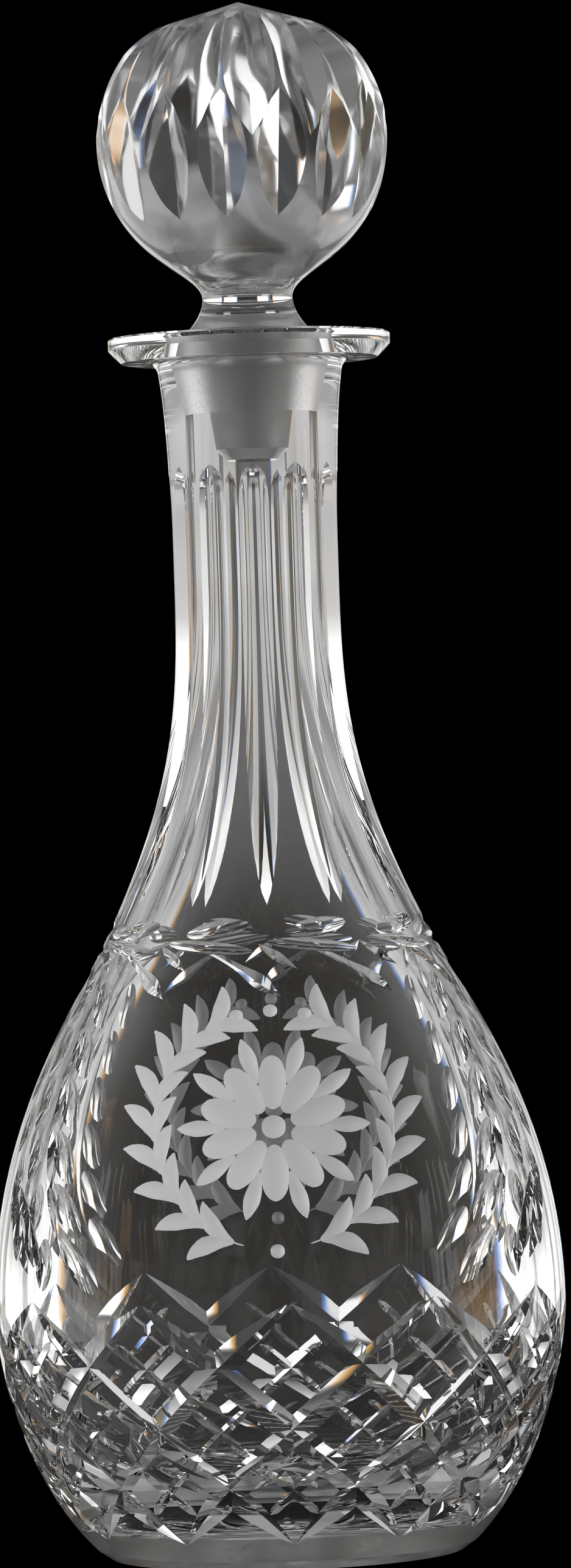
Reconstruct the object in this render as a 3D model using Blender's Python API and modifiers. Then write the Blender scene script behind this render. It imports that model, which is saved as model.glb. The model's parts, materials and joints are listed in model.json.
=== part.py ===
"""A cut-glass decanter: a hollow vessel with a fluted neck, and a solid ball stopper in its mouth.

Lengths are in metres and +Z is up. The origin is on the table, under the middle of the foot.
Azimuth 0 is the front, along -Y, and azimuths grow towards +X.
"""
import math

import bmesh
import bpy
import numpy as np
from mathutils import Vector

# Outside of the vessel, going up, with each rise measured from the place before it
FOOT_RADIUS = 0.0400
FOOT_EDGE_HEIGHT = 0.0020
FOOT_BEVEL = 0.0029
BELLY_RADIUS = 0.0599
BELLY_RISE = 0.0500
SHOULDER_RADIUS = 0.0384
SHOULDER_RISE = 0.0693
WAIST_RADIUS = 0.0175
WAIST_RISE = 0.0857
NECK_TOP_RADIUS = 0.0192
NECK_TOP_RISE = 0.0399
BELLY_HEIGHT = FOOT_EDGE_HEIGHT + BELLY_RISE
SHOULDER_HEIGHT = BELLY_HEIGHT + SHOULDER_RISE
WAIST_HEIGHT = SHOULDER_HEIGHT + WAIST_RISE
NECK_TOP_HEIGHT = WAIST_HEIGHT + NECK_TOP_RISE

# Lip flange round the mouth
FLANGE_OVERHANG = 0.0104
FLANGE_FILLET = 0.0029
FLANGE_BEVEL = 0.0026
FLANGE_EDGE = 0.0026
FLANGE_CORNER = 0.0004
FLANGE_RADIUS = NECK_TOP_RADIUS + FLANGE_OVERHANG
FLANGE_UNDERSIDE = NECK_TOP_HEIGHT + FLANGE_FILLET
MOUTH_HEIGHT = FLANGE_UNDERSIDE + FLANGE_BEVEL + FLANGE_EDGE

# Inside of the vessel
WALL = 0.0050
BASE_THICKNESS = 0.0120
BORE_RADIUS = 0.0090
BORE_START_DROP = 0.0020
SOCKET_FLARE = 0.0023
MOUTH_BEVEL = 0.0004
SOCKET_DEPTH = 0.0160
MOUTH_RADIUS = BORE_RADIUS + SOCKET_FLARE

# Underside of the foot
FOOT_RING_WIDTH = 0.0071
RECESS_DEPTH = 0.0012
STAR_INNER_RADIUS = 0.0030
STAR_DEPTH = 0.0012
STAR_RAYS = 24
FOOT_FLAT_RADIUS = FOOT_RADIUS - FOOT_BEVEL
RECESS_RADIUS = FOOT_FLAT_RADIUS - FOOT_RING_WIDTH

# Stopper
CLEARANCE = 0.0003
PLUG_LENGTH = 0.0263
PLUG_BEVEL = 0.0022
COLLAR_OVERHANG = 0.0017
COLLAR_EDGE = 0.0008
STEM_WAIST = 0.00355
STEM_RISE = 0.0077
BALL_RADIUS = 0.0306
BALL_GAP = 0.0100
CROWN_RADIUS = 0.0178
CROWN_DROP = 0.0015
COLLAR_RADIUS = MOUTH_RADIUS + COLLAR_OVERHANG
STEM_RADIUS = COLLAR_RADIUS - STEM_WAIST
BALL_RISE = BALL_GAP + BALL_RADIUS

# Ring and swags on the shoulder
RING_RISE = 0.0104
RING_DEPTH = 0.0007
SWAGS = 10
SWAG_GAP = 0.0022
SWAG_DROP = 0.0100
SWAG_DEPTH = 0.0011
RING_HEIGHT = SHOULDER_HEIGHT + RING_RISE
SWAG_TOP_HEIGHT = RING_HEIGHT - SWAG_GAP

# Neck flutes, between the ring and the neck's top
FLUTES = 12
FLUTE_BOTTOM_GAP = 0.0063
FLUTE_TOP_GAP = 0.0189
FLUTE_DEPTH = 0.0010
FLUTE_BOTTOM_HEIGHT = RING_HEIGHT + FLUTE_BOTTOM_GAP
FLUTE_TOP_HEIGHT = NECK_TOP_HEIGHT - FLUTE_TOP_GAP

# Diamond band round the body, from just above the foot to just above the belly
DIAMONDS = 12
BAND_BOTTOM_GAP = 0.0037
BAND_TOP_RISE = 0.0044
BAND_ROWS = 3
RIGHT_MITRE_DEPTH = 0.0010
LEFT_MITRE_DEPTH = 0.0008
CROSS_SHALLOWER = 0.0001
BAND_BOTTOM_HEIGHT = FOOT_EDGE_HEIGHT + BAND_BOTTOM_GAP
BAND_TOP_HEIGHT = BELLY_HEIGHT + BAND_TOP_RISE

# Leaf columns at the sides of the two plain panels, between the band and the shoulder
LEAVES = 6
LEAF_BOTTOM_GAP = 0.0086
LEAF_TOP_GAP = 0.0023
LEAF_LENGTH = 0.0088
LEAF_DEPTH = 0.0013
LEAF_BOTTOM_HEIGHT = BAND_TOP_HEIGHT + LEAF_BOTTOM_GAP
LEAF_TOP_HEIGHT = SHOULDER_HEIGHT - LEAF_TOP_GAP

# Cuts on the ball
BALL_CUTS = 15
BALL_CUT_TURNS = 3
UPPER_CUT_POLE_RADIUS = 0.0060
UPPER_CUT_DEPTH = 0.0032
LOWER_CUT_DEPTH = 0.0031
LOWER_CUT_RISE = 0.0087
LOWER_CUT_DROP = 0.0181

# How far the foot's curve heads for the belly's radius, as a share of the way out
FOOT_RUN_SHARE = 0.754

# Slopes of the outline, as outward run per rise
SHOULDER_LEAN_SHARE = -0.56
NECK_TOP_LEAN_SHARE = 0.15
COLLAR_LEAN_SHARE = -1.0

# How far each curve's handles reach, as shares of its rise
FOOT_CURVE_SHARES = (0.30, 0.20)
BELLY_CURVE_SHARES = (0.50, 0.15)
NECK_CURVE_SHARES = (0.45, 0.30)
TOP_CURVE_SHARES = (0.15, 0.30)
FLOOR_CURVE_SHARES = (0.55, 0.50)
STEM_CURVE_SHARES = (0.55, 0.60)
FLOOR_FLAT_SHARE = 0.5
STEM_FLARE_SHARE = 1.25
SWAG_START_SHARE = 0.05
BAND_START_SHARE = 0.065

# Places of the leaf columns, as shares of a turn
COLUMN_SHARES = (0.147, 0.353, 0.647, 0.853)

# How much of its room at the waist a flute takes, and a ray of the star where it is widest
FLUTE_WIDTH_SHARE = 0.90
STAR_WIDTH_SHARE = 0.92
STAR_WIDEST_SHARE = 0.60

# Along each cut: how far along, and how deep, as shares. Below zero the wheel is clear of the glass
FLUTE_SHARES = ((0, -0.1), (0.10, 0.30), (0.25, 0.72), (0.45, 1), (0.90, 1), (0.97, 0.75), (1, -0.1))
SWAG_SHARES = ((0, -0.1), (0.30, 0.50), (0.65, 1), (0.85, 0.80), (1, -0.1))
MITRE_SHARES = ((0, -0.04), (0.04, 1), (0.96, 1), (1, -0.04))
CROSS_SHARES = ((-1, -0.1), (0, 1), (1, -0.1))
CROSS_LENGTH_SHARE = 0.8
LEAF_SHARES = ((0, -0.1), (0.30, 1), (0.70, 1), (1, -0.1))
UPPER_CUT_SHARES = ((0, -0.05), (0.12, 0.25), (0.25, 0.52), (0.50, 0.86), (0.70, 1), (0.85, 0.66), (1, -0.05))
LOWER_CUT_SHARES = ((0, -0.05), (0.20, 0.66), (0.50, 1), (0.80, 0.62), (1, -0.05))
STAR_SHARES = ((0, -0.1), (STAR_WIDEST_SHARE, 1), (1, -0.1))
STAR_REACH_SHARE = 0.95

# Half-widths of the cutting wheels' edges, as shares of their depth
MITRE_FLARE_SHARE = 1.1
SWAG_FLARE_SHARE = 1.5
LEAF_FLARE_SHARE = 1.6
BALL_FLARE_SHARE = 1.95
RING_FLARE_SHARE = 1.3

# How far a cutter stands clear of the glass that it cuts, and one that crosses many facets
OVERRUN = 0.0003
LONG_OVERRUN = 0.0009

# Facets round a turn, and points along the curves
VESSEL_SIDES = 36
STOPPER_SIDES = 45
CURVE_STEPS = 5
INSIDE_STEPS = 4
TOP_CURVE_STEPS = 2
BALL_STEPS = 9
BALL_CUT_STEPS = 8
STEM_STEPS = 3
DISH_STEPS = 3
MITRE_STEPS = 6
FLUTE_STEPS = 4
WHEEL_STEPS = 3
MERGE_DISTANCE = 0.00001

GLASS_COLOUR = (0.93, 0.95, 0.93, 1)
GLASS_ROUGHNESS = 0.03
GLASS_IOR = 1.545


def clear_scene():
    """Remove what the scene starts with."""
    for thing in list(bpy.data.objects):
        bpy.data.objects.remove(thing, do_unlink=True)


def collection(name, hidden=False):
    """A new collection in the scene."""
    made = bpy.data.collections.new(name)
    made.hide_render = hidden
    bpy.context.scene.collection.children.link(made)
    return made


def glass(name):
    """Clear colourless lead glass."""
    material = bpy.data.materials.new(name)
    material.use_nodes = True
    shader = material.node_tree.nodes["Principled BSDF"]
    shader.inputs["Base Color"].default_value = GLASS_COLOUR
    shader.inputs["Roughness"].default_value = GLASS_ROUGHNESS
    shader.inputs["Metallic"].default_value = 0
    shader.inputs["IOR"].default_value = GLASS_IOR
    shader.inputs["Transmission Weight"].default_value = 1
    return material


def curve(start, start_pull, end, end_pull, steps):
    """Points of a cubic curve from start to end, without the start. A pull is the run to a handle."""
    handle_a = np.add(start, start_pull)
    handle_b = np.subtract(end, end_pull)
    points = []
    for share in np.linspace(0, 1, steps + 1)[1:]:
        left = 1 - share
        point = left**3 * np.array(start) + 3 * left**2 * share * handle_a
        points.append(point + 3 * left * share**2 * handle_b + share**3 * np.array(end))
    return points


def leaning_curve(start, start_lean, end, end_lean, shares, steps):
    """A curve that leaves and arrives with the given slopes. Shares set its handles."""
    rise = end[1] - start[1]
    start_pull = np.array((start_lean, 1)) * rise * shares[0]
    end_pull = np.array((end_lean, 1)) * rise * shares[1]
    return curve(start, start_pull, end, end_pull, steps)


def vessel_wall():
    """The outside of the vessel from foot to neck, as (radius, height), going up."""
    foot = (FOOT_RADIUS, FOOT_EDGE_HEIGHT)
    belly = (BELLY_RADIUS, BELLY_HEIGHT)
    shoulder = (SHOULDER_RADIUS, SHOULDER_HEIGHT)
    waist = (WAIST_RADIUS, WAIST_HEIGHT)
    top = (NECK_TOP_RADIUS, NECK_TOP_HEIGHT)
    foot_run = FOOT_RUN_SHARE * (BELLY_RADIUS - FOOT_RADIUS)
    foot_lean = foot_run / (FOOT_CURVE_SHARES[0] * BELLY_RISE)
    points = [np.array(foot)]
    points += leaning_curve(foot, foot_lean, belly, 0, FOOT_CURVE_SHARES, CURVE_STEPS)
    points += leaning_curve(belly, 0, shoulder, SHOULDER_LEAN_SHARE, BELLY_CURVE_SHARES, CURVE_STEPS)
    points += leaning_curve(shoulder, SHOULDER_LEAN_SHARE, waist, 0, NECK_CURVE_SHARES, CURVE_STEPS)
    points += leaning_curve(waist, 0, top, NECK_TOP_LEAN_SHARE, TOP_CURVE_SHARES, TOP_CURVE_STEPS)
    return points


def vessel_inside():
    """The inside of the vessel from the middle of its floor to its mouth, going up."""
    belly = (BELLY_RADIUS - WALL, BELLY_HEIGHT)
    floor = (belly[0] * FLOOR_FLAT_SHARE, BASE_THICKNESS)
    floor_pull = ((belly[0] - floor[0]) * FLOOR_CURVE_SHARES[0], 0)
    belly_pull = (0, (belly[1] - floor[1]) * FLOOR_CURVE_SHARES[1])
    outward = np.array((1, -SHOULDER_LEAN_SHARE)) / math.hypot(1, SHOULDER_LEAN_SHARE)
    shoulder = np.array((SHOULDER_RADIUS, SHOULDER_HEIGHT)) - outward * WALL
    bore = (BORE_RADIUS, WAIST_HEIGHT - BORE_START_DROP)
    points = [np.array((0, BASE_THICKNESS)), np.array(floor)]
    points += curve(floor, floor_pull, belly, belly_pull, INSIDE_STEPS)
    points += leaning_curve(belly, 0, shoulder, SHOULDER_LEAN_SHARE, BELLY_CURVE_SHARES, INSIDE_STEPS)
    points += leaning_curve(shoulder, SHOULDER_LEAN_SHARE, bore, 0, NECK_CURVE_SHARES, INSIDE_STEPS)
    points.append((BORE_RADIUS, MOUTH_HEIGHT - SOCKET_DEPTH))
    points.append((MOUTH_RADIUS, MOUTH_HEIGHT - MOUTH_BEVEL))
    points.append((MOUTH_RADIUS + MOUTH_BEVEL, MOUTH_HEIGHT))
    return points


def flange():
    """The lip flange from its top edge in to the neck, going down."""
    fillet_start = (NECK_TOP_RADIUS + FLANGE_FILLET, FLANGE_UNDERSIDE)
    pull = FLANGE_FILLET * TOP_CURVE_SHARES[1]
    points = [
        (FLANGE_RADIUS - FLANGE_CORNER, MOUTH_HEIGHT),
        (FLANGE_RADIUS, MOUTH_HEIGHT - FLANGE_CORNER),
        (FLANGE_RADIUS, MOUTH_HEIGHT - FLANGE_EDGE),
        (FLANGE_RADIUS - FLANGE_BEVEL, FLANGE_UNDERSIDE),
        fillet_start,
    ]
    neck_top = (NECK_TOP_RADIUS, NECK_TOP_HEIGHT)
    return points + curve(fillet_start, (-pull, 0), neck_top, (0, -pull), STEM_STEPS)[:-1]


def foot_dish():
    """The shallow dish under the foot, from its middle out to the flat ring that the vessel rests on."""
    shares = np.linspace(0, 1, DISH_STEPS + 1)
    return [(RECESS_RADIUS * share, RECESS_DEPTH * (1 - share**2)) for share in shares]


def ball_point(polar):
    """A point of the ball's outline. Polar is the angle down from its top."""
    centre = MOUTH_HEIGHT + CLEARANCE + BALL_RISE
    return np.array((BALL_RADIUS * math.sin(polar), centre + BALL_RADIUS * math.cos(polar)))


def stem_polar():
    """The angle down from the ball's top at which the ball gives way to the stem."""
    return math.pi - math.asin((STEM_RADIUS + COLLAR_RADIUS) / 2 / BALL_RADIUS * STEM_FLARE_SHARE)


def ball_outline():
    """The ball's outline from where the crown's cone meets it down to the stem."""
    first = math.asin(CROWN_RADIUS / BALL_RADIUS)
    return [ball_point(polar) for polar in np.linspace(first, stem_polar(), BALL_STEPS + 1)]


def stopper_profile():
    """The stopper's outline from the point of its crown down to the end of its plug."""
    base = MOUTH_HEIGHT + CLEARANCE
    shell = ball_outline()
    last = shell[-1]
    stem = (STEM_RADIUS, base + STEM_RISE)
    collar = (COLLAR_RADIUS, base + COLLAR_EDGE)
    lean = 1 / math.tan(math.pi - stem_polar())
    taper = SOCKET_FLARE / SOCKET_DEPTH
    plug_radius = MOUTH_RADIUS - CLEARANCE
    plug_bevel_radius = plug_radius - taper * (PLUG_LENGTH - PLUG_BEVEL)
    points = [np.array((0, base + BALL_RISE + BALL_RADIUS - CROWN_DROP))] + shell
    points += leaning_curve(last, lean, stem, 0, STEM_CURVE_SHARES, STEM_STEPS)
    points += leaning_curve(stem, 0, collar, COLLAR_LEAN_SHARE, STEM_CURVE_SHARES, STEM_STEPS)
    points.append((COLLAR_RADIUS, base))
    points.append((plug_radius, base))
    points.append((plug_bevel_radius, base - PLUG_LENGTH + PLUG_BEVEL))
    points.append((plug_bevel_radius - PLUG_BEVEL, base - PLUG_LENGTH))
    points.append((0, base - PLUG_LENGTH))
    return points


class Outline:
    """A turned surface that cuts are laid on, measured along its outline with the glass to the left."""

    def __init__(self, points):
        self.points = np.array(points)
        runs = np.linalg.norm(np.diff(self.points, axis=0), axis=1)
        self.travels = np.concatenate(([0], np.cumsum(runs)))
        self.slopes = np.gradient(self.points, self.travels, axis=0)

    def travel(self, height):
        """How far along an outline that only rises a height lies."""
        return np.interp(height, self.points[:, 1], self.travels)

    def read(self, table, travel):
        """The radial and the upward part of a table at a place on the outline."""
        return [np.interp(travel, self.travels, column) for column in table.T]

    def place(self, travel, azimuth):
        """The point of the surface there, and the direction straight out of the glass."""
        radius, height = self.read(self.points, travel)
        out, up = self.read(self.slopes, travel)
        return around(radius, azimuth, height), around(up, azimuth, -out).normalized()


def around(radius, azimuth, height):
    """The point at a radius, azimuth and height."""
    return Vector((radius * math.sin(azimuth), -radius * math.cos(azimuth), height))


def edge_section(flare, overrun=OVERRUN):
    """The section of a V-edged wheel, as a function of its depth: pairs of across and out."""

    def section(depth):
        half = flare * (depth + overrun)
        return [(0, -depth), (half, overrun), (-half, overrun)]

    return section


def round_section(half_width, full_depth):
    """The section of a round-edged wheel, as a function of its depth: pairs of across and out."""
    sink = full_depth + OVERRUN
    wheel_radius = (half_width**2 + sink**2) / (2 * sink)

    def section(depth):
        reach = math.acos((wheel_radius - depth - OVERRUN) / wheel_radius)
        angles = np.linspace(-reach, reach, WHEEL_STEPS + 1)
        middle = wheel_radius - depth
        return [(wheel_radius * math.sin(a), middle - wheel_radius * math.cos(a)) for a in angles]

    return section


def add_cut(mesh, surface, route, section):
    """One wheel cut along a route of (travel, azimuth, depth) on a surface, as a closed cutter."""
    places = [surface.place(travel, azimuth) for travel, azimuth, depth in route]
    rings = []
    for index, (point, outward) in enumerate(places):
        before = places[max(index - 1, 0)][0]
        after = places[min(index + 1, len(places) - 1)][0]
        across = (after - before).cross(outward).normalized()
        pairs = section(route[index][2])
        rings.append([mesh.verts.new(point + across * a + outward * b) for a, b in pairs])
    loft(mesh, rings)


def loft(mesh, rings):
    """Skin a row of rings of the same count and close its ends."""
    for near, far in zip(rings, rings[1:]):
        for index in range(len(near)):
            mesh.faces.new((near[index - 1], near[index], far[index], far[index - 1]))
    mesh.faces.new(rings[0])
    mesh.faces.new(rings[-1][::-1])


def turns(count, start=0):
    """Azimuths spaced evenly round the axis."""
    return [start + 2 * math.pi * index / count for index in range(count)]


def stations(table, steps):
    """Places along a cut and their depths, as shares: the table's own and as many evenly spaced ones."""
    alongs, deeps = np.transpose(table)
    places = sorted(set(np.linspace(0, 1, steps + 1)) | set(alongs))
    return list(zip(places, np.interp(places, alongs, deeps)))


def add_flutes(mesh, surface):
    """The long hollow flutes up the neck, rounded at the top and pointed at the bottom."""
    bottom = surface.travel(FLUTE_BOTTOM_HEIGHT)
    length = surface.travel(FLUTE_TOP_HEIGHT) - bottom
    half_width = FLUTE_WIDTH_SHARE * math.pi * WAIST_RADIUS / FLUTES
    shares = stations(FLUTE_SHARES, FLUTE_STEPS)
    for azimuth in turns(FLUTES):
        route = [(bottom + along * length, azimuth, deep * FLUTE_DEPTH) for along, deep in shares]
        add_cut(mesh, surface, route, round_section(half_width, FLUTE_DEPTH))


def add_swags(mesh, surface):
    """Curved cuts that fall away from the ring in turn, each ending in a leaf point."""
    top = surface.travel(SWAG_TOP_HEIGHT)
    span = 2 * math.pi / SWAGS
    for start in turns(SWAGS, span * SWAG_START_SHARE):
        route = []
        for along, deep in SWAG_SHARES:
            route.append((top - SWAG_DROP * along**2, start + span * along, deep * SWAG_DEPTH))
        add_cut(mesh, surface, route, edge_section(SWAG_FLARE_SHARE))


def add_diamonds(mesh, surface, hand, depth):
    """One hand of the band's slanting mitre cuts, and of the short crosses in its diamonds."""
    bottom = surface.travel(BAND_BOTTOM_HEIGHT)
    length = surface.travel(BAND_TOP_HEIGHT) - bottom
    half_pitch = math.pi / DIAMONDS
    levels = BAND_ROWS + 1
    rise = length / levels
    swing = hand * half_pitch * levels
    band_start = 2 * half_pitch * BAND_START_SHARE
    for start in turns(DIAMONDS, band_start):
        route = []
        for along, deep in stations(MITRE_SHARES, MITRE_STEPS):
            route.append((bottom + along * length, start + along * swing, deep * depth))
        add_cut(mesh, surface, route, edge_section(MITRE_FLARE_SHARE, LONG_OVERRUN))
    for row in range(BAND_ROWS):
        middle = bottom + rise * (row + 1)
        for start in turns(DIAMONDS, band_start + half_pitch * row):
            route = []
            for along, deep in CROSS_SHARES:
                reach = along * CROSS_LENGTH_SHARE / 2
                cross_depth = deep * (depth - CROSS_SHALLOWER)
                route.append((middle + reach * rise, start + reach * hand * half_pitch, cross_depth))
            add_cut(mesh, surface, route, edge_section(MITRE_FLARE_SHARE, LONG_OVERRUN))


def add_leaves(mesh, surface):
    """Four columns of oval leaves, one at each side of the two plain panels."""
    bottom = surface.travel(LEAF_BOTTOM_HEIGHT)
    pitch = (surface.travel(LEAF_TOP_HEIGHT) - bottom) / (LEAVES - 1)
    for turn_share in COLUMN_SHARES:
        azimuth = 2 * math.pi * turn_share
        for index in range(LEAVES):
            start = bottom + index * pitch - LEAF_LENGTH / 2
            route = []
            for along, deep in LEAF_SHARES:
                route.append((start + along * LEAF_LENGTH, azimuth, deep * LEAF_DEPTH))
            add_cut(mesh, surface, route, edge_section(LEAF_FLARE_SHARE))


def add_ring(mesh, surface):
    """The notch that runs round the shoulder."""
    travel = surface.travel(RING_HEIGHT)
    rings = []
    for azimuth in turns(VESSEL_SIDES):
        point, outward = surface.place(travel, azimuth)
        along = around(0, azimuth, 1).cross(around(1, azimuth, 0))
        across = outward.cross(along)
        pairs = edge_section(RING_FLARE_SHARE)(RING_DEPTH)
        rings.append([mesh.verts.new(point + across * a + outward * b) for a, b in pairs])
    for near, far in zip(rings, rings[1:] + rings[:1]):
        for index in range(len(near)):
            mesh.faces.new((near[index - 1], near[index], far[index], far[index - 1]))


def add_star(mesh, surface):
    """The rays of the star cut in the dish under the foot."""
    length = RECESS_RADIUS * STAR_REACH_SHARE - STAR_INNER_RADIUS
    widest = STAR_INNER_RADIUS + STAR_WIDEST_SHARE * length
    half_width = STAR_WIDTH_SHARE * math.pi * widest / STAR_RAYS
    for azimuth in turns(STAR_RAYS):
        route = []
        for along, deep in STAR_SHARES:
            route.append((STAR_INNER_RADIUS + along * length, azimuth, deep * STAR_DEPTH))
        add_cut(mesh, surface, route, edge_section(half_width / (STAR_DEPTH + OVERRUN)))


def add_ball_cuts(mesh, surface, upper, first_cut):
    """Every third of the wide V cuts in the upper row, or in the lower row between its tips."""
    top_polar = math.asin(UPPER_CUT_POLE_RADIUS / BALL_RADIUS)
    lower_polars = (math.acos(LOWER_CUT_RISE / BALL_RADIUS), math.acos(-LOWER_CUT_DROP / BALL_RADIUS))
    polars = (top_polar, math.pi / 2) if upper else lower_polars
    shares = UPPER_CUT_SHARES if upper else LOWER_CUT_SHARES
    depth = UPPER_CUT_DEPTH if upper else LOWER_CUT_DEPTH
    start = 0 if upper else math.pi / BALL_CUTS
    first, last = [surface.travel(ball_point(polar)[1]) for polar in polars]
    for azimuth in turns(BALL_CUTS, start)[first_cut::BALL_CUT_TURNS]:
        route = []
        for along, deep in stations(shares, BALL_CUT_STEPS):
            route.append((first + along * (last - first), azimuth, deep * depth))
        add_cut(mesh, surface, route, edge_section(BALL_FLARE_SHARE))


def mesh_object(name, mesh, home):
    """An object that holds a bmesh, with its faces pointing out."""
    bmesh.ops.recalc_face_normals(mesh, faces=mesh.faces)
    data = bpy.data.meshes.new(name)
    mesh.to_mesh(data)
    mesh.free()
    made = bpy.data.objects.new(name, data)
    home.objects.link(made)
    return made


def turned(name, profile, sides, home, material):
    """A solid turned from an outline of (radius, height) points that runs down its outer side."""
    data = bpy.data.meshes.new(name)
    corners = [(radius, 0, height) for radius, height in profile]
    data.from_pydata(corners, [(index, index + 1) for index in range(len(corners) - 1)], [])
    data.materials.append(material)
    made = bpy.data.objects.new(name, data)
    home.objects.link(made)
    screw = made.modifiers.new("turn", "SCREW")
    screw.steps = sides
    screw.render_steps = sides
    screw.use_smooth_shade = True
    screw.use_merge_vertices = True
    screw.merge_threshold = MERGE_DISTANCE
    return made


def wheel_cuts(name, home, surface, add, **choices):
    """A family of wheel cuts, none of which meets another of its own family, as one cutter."""
    mesh = bmesh.new()
    add(mesh, surface, **choices)
    bmesh.ops.triangulate(mesh, faces=mesh.faces)
    cutter = mesh_object(name, mesh, home)
    cutter.hide_render = True
    cutter.display_type = "WIRE"


def carve(body, cutters):
    """Cut all the families of a collection from a body at once."""
    boolean = body.modifiers.new("carve", "BOOLEAN")
    boolean.operation = "DIFFERENCE"
    boolean.solver = "EXACT"
    boolean.operand_type = "COLLECTION"
    boolean.collection = cutters


def split_facets(body):
    """Split the many-sided facets that the cuts leave into even triangles."""
    split = body.modifiers.new("facets", "TRIANGULATE")
    split.quad_method = "BEAUTY"
    split.ngon_method = "BEAUTY"


def make_vessel(home):
    """The blown body with its fluted neck, lip flange and cut decoration."""
    wall = vessel_wall()
    dish = foot_dish()
    profile = vessel_inside() + flange() + wall[::-1] + [(FOOT_FLAT_RADIUS, 0)] + dish[::-1]
    vessel = turned("vessel", profile, VESSEL_SIDES, home, glass("vessel_glass"))
    surface = Outline(wall)
    cutters = collection("vessel_cutters", hidden=True)
    wheel_cuts("flute_cutter", cutters, surface, add_flutes)
    wheel_cuts("ring_cutter", cutters, surface, add_ring)
    wheel_cuts("swag_cutter", cutters, surface, add_swags)
    wheel_cuts("leaf_cutter", cutters, surface, add_leaves)
    wheel_cuts("right_mitre_cutter", cutters, surface, add_diamonds, hand=1, depth=RIGHT_MITRE_DEPTH)
    wheel_cuts("left_mitre_cutter", cutters, surface, add_diamonds, hand=-1, depth=LEFT_MITRE_DEPTH)
    wheel_cuts("star_cutter", cutters, Outline(dish), add_star)
    carve(vessel, cutters)
    split_facets(vessel)


def make_stopper(home):
    """The solid stopper: a cut ball on a waisted stem, over a tapered plug."""
    stopper = turned("stopper", stopper_profile(), STOPPER_SIDES, home, glass("stopper_glass"))
    polars = np.linspace(0, math.pi, BALL_STEPS * BALL_STEPS)
    surface = Outline([ball_point(polar) for polar in polars[::-1]])
    cutters = collection("stopper_cutters", hidden=True)
    for turn in range(BALL_CUT_TURNS):
        wheel_cuts(f"upper_cutter_{turn}", cutters, surface, add_ball_cuts, upper=True, first_cut=turn)
        wheel_cuts(f"lower_cutter_{turn}", cutters, surface, add_ball_cuts, upper=False, first_cut=turn)
    carve(stopper, cutters)
    split_facets(stopper)


clear_scene()
parts = collection("decanter")
make_vessel(parts)
make_stopper(parts)
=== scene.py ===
"""The looks of a cut-glass decanter with a ball stopper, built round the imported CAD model.

Lengths are in metres, +Z is up and the origin is on the table under the middle of the foot.
Azimuth 0 is the front, along -Y, and azimuths grow towards +X. Each cut is laid on a turned
surface by its travel along the outline and its azimuth, and follows the wheel that ground it.
Angles among the named values are in degrees.
"""

import json
import math

import bpy
import numpy as np
from mathutils import Matrix, Vector

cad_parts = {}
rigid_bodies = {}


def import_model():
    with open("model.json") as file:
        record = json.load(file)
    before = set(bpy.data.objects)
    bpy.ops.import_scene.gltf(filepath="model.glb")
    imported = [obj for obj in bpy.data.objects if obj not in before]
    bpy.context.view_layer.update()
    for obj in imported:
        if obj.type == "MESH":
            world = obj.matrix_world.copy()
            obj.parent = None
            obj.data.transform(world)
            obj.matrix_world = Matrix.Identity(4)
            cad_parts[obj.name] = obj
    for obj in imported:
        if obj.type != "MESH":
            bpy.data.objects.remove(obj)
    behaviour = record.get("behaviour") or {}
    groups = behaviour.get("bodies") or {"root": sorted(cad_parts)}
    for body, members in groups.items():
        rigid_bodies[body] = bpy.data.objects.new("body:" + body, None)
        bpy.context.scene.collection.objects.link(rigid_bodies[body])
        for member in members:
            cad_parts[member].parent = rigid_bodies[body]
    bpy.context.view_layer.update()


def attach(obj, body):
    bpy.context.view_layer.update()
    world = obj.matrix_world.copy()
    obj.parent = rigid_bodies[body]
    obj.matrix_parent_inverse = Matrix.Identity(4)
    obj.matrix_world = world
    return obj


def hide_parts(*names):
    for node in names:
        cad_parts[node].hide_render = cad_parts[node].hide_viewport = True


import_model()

# Outside of the vessel, going up
FOOT_RADIUS = 0.0400
FOOT_EDGE_HEIGHT = 0.0020
FOOT_FLAT_RADIUS = 0.0371
# Below this height the foot band is rough from wear and tinted dark as painted shade
WEAR_AND_PAINTED_SHADE_HEIGHT = 0.0060
BELLY_RADIUS = 0.0599
BELLY_HEIGHT = 0.0520
SHOULDER_RADIUS = 0.0384
SHOULDER_HEIGHT = 0.1213
WAIST_RADIUS = 0.0175
WAIST_HEIGHT = 0.2070
NECK_TOP_RADIUS = 0.0192
NECK_TOP_HEIGHT = 0.2469

# Lip flange round the mouth
MOUTH_HEIGHT = 0.2550
FLANGE_RADIUS = 0.0296
FLANGE_FILLET = 0.0029
FLANGE_EDGE = 0.0026
FLANGE_BEVEL = 0.0026
FLANGE_CORNER = 0.0004

# Inside of the vessel
WALL = 0.0050
BASE_THICKNESS = 0.0120
BORE_RADIUS = 0.0090
BORE_START_HEIGHT = 0.2050
MOUTH_RADIUS = 0.0113
MOUTH_BEVEL = 0.0004
SOCKET_DEPTH = 0.0160

# Underside of the foot
RECESS_RADIUS = 0.0300
RECESS_DEPTH = 0.0012

# Stopper, whose rises are measured from the underside of its collar
CLEARANCE = 0.0003
STOPPER_BASE = MOUTH_HEIGHT + CLEARANCE
PLUG_LENGTH = 0.0263
PLUG_BEVEL = 0.0022
COLLAR_RADIUS = 0.0130
COLLAR_EDGE = 0.0008
STEM_RADIUS = 0.00945
STEM_RISE = 0.0077
BALL_RADIUS = 0.0306
BALL_RISE = 0.0406
CROWN_RADIUS = 0.0202
CROWN_RISE = 0.0291

# Slopes of the outline, as outward run per rise
FOOT_LEAN = 1.0
SHOULDER_LEAN = -0.56
NECK_TOP_LEAN = 0.15
COLLAR_LEAN = -1

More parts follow.
